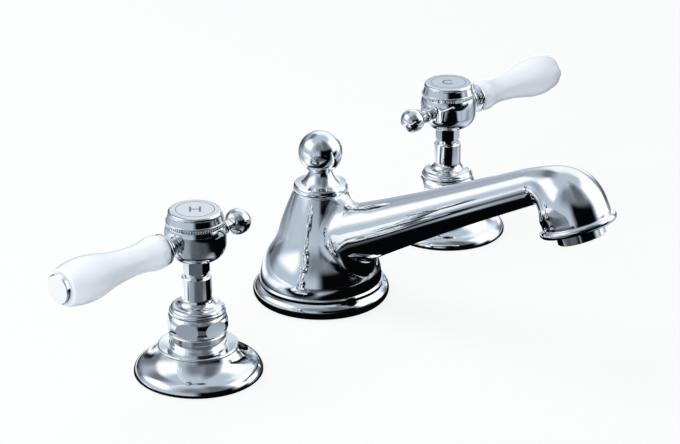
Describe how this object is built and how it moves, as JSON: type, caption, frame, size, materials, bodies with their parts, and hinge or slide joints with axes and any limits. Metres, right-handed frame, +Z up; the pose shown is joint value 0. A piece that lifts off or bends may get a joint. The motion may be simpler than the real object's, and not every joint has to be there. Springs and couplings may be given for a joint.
{
  "type": "basin mixer tap",
  "caption": "Basin mixer for separate deck holes: chrome spout with a pop-up waste knob, and hot and cold side valves with porcelain levers.",
  "frame": {"origin": "where the spout's axis meets the upper face of the deck", "axes": "+X runs along the basin from the hot valve to the cold one, the spout points to -Y over the bowl, +Z is up"},
  "size_m": [0.3572, 0.1889, 0.1907],
  "materials": {
    "chrome": "polished chrome plate on brass",
    "porcelain": "glossy white glaze",
    "brass": "turned, uncoated",
    "steel": "plain",
    "ceramic": "lapped",
    "rubber": "matt black",
    "plastic": "white acetal"
  },
  "bodies": {
    "base": {"hot_flange": "chrome", "hot_deck_gasket": "rubber", "hot_valve_body": "brass", "hot_lock_collar": "chrome", "hot_inlet_seal": "rubber", "hot_fixed_disc": "ceramic", "hot_cartridge": "brass", "hot_bonnet": "chrome", "hot_gland_nut": "chrome", "hot_rubber_washer": "rubber", "hot_metal_washer": "steel", "hot_back_nut": "brass", "cold_flange": "chrome", "cold_deck_gasket": "rubber", "cold_valve_body": "brass", "cold_lock_collar": "chrome", "cold_inlet_seal": "rubber", "cold_fixed_disc": "ceramic", "cold_cartridge": "brass", "cold_bonnet": "chrome", "cold_gland_nut": "chrome", "cold_rubber_washer": "rubber", "cold_metal_washer": "steel", "cold_back_nut": "brass", "spout_base_ring": "chrome", "spout_deck_gasket": "rubber", "spout_body": "chrome", "spout_shank": "brass", "spout_rubber_washer": "rubber", "spout_metal_washer": "steel", "spout_back_nut": "brass", "guide_collar": "chrome", "guide_bush": "plastic", "aerator_housing": "chrome", "aerator_insert": "plastic", "aerator_seal": "rubber"},
    "hot_handle": {"hot_moving_disc": "ceramic", "hot_spindle": "brass", "hot_handle_hub": "chrome", "hot_handle_screw": "steel", "hot_milled_cap": "chrome", "hot_index_disc": "chrome", "hot_lever_stem": "chrome", "hot_lever_grip": "porcelain", "hot_end_button": "chrome", "hot_counter_ball": "chrome"},
    "cold_handle": {"cold_moving_disc": "ceramic", "cold_spindle": "brass", "cold_handle_hub": "chrome", "cold_handle_screw": "steel", "cold_milled_cap": "chrome", "cold_index_disc": "chrome", "cold_lever_stem": "chrome", "cold_lever_grip": "porcelain", "cold_end_button": "chrome", "cold_counter_ball": "chrome"},
    "lift": {"lift_knob": "chrome", "lift_rod": "chrome"}
  },
  "joints": [
    {"name": "hot_turn", "type": "hinge", "parent": "base", "child": "hot_handle", "pos_m": [-0.1, -0.005, 0], "axis": [0, 0, 1], "range_deg": [0, 90]},
    {"name": "cold_turn", "type": "hinge", "parent": "base", "child": "cold_handle", "pos_m": [0.1, -0.005, 0], "axis": [0, 0, 1], "range_deg": [-90, 0]},
    {"name": "waste_lift", "type": "slide", "parent": "base", "child": "lift", "axis": [0, 0, 1], "range_m": [0, 0.025]}
  ]
}
